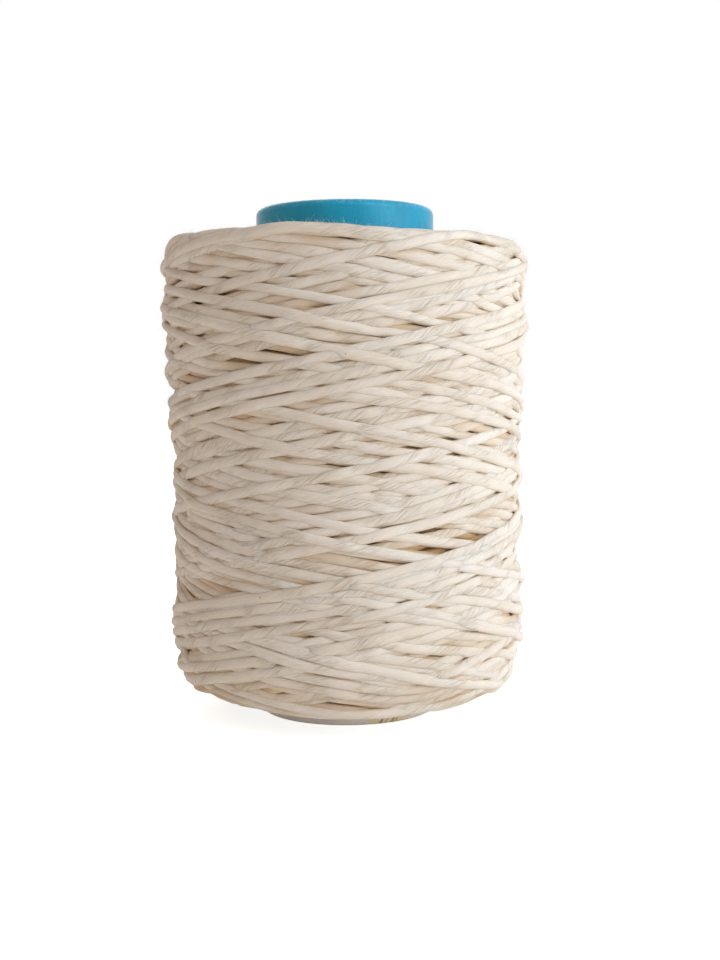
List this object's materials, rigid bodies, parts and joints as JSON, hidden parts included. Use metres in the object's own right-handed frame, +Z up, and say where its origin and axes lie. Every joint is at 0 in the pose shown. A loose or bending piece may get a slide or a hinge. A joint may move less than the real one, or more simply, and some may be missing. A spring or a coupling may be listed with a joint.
{
  "type": "wound string spool",
  "caption": "Straight paper tube with a blue rounded end, cross wound with thick soft single-strand cotton string.",
  "frame": {"origin": "centre of the tube's cut base end, on the surface it stands on", "axes": "+Z up the tube's axis, towards the blue rounded end"},
  "size_m": [0.122, 0.122, 0.17],
  "materials": {
    "tube_board": "matte",
    "kraft_paper": "matte",
    "printed_paper": "matte",
    "blue_paper": "satin",
    "cotton_string": "matte, undyed, low twist"
  },
  "bodies": {
    "root": {"tube_board": "tube_board", "tube_liner": "kraft_paper", "tube_outer_ply": "printed_paper", "blue_end_wrap": "blue_paper", "string_winding": "cotton_string"}
  },
  "joints": []
}
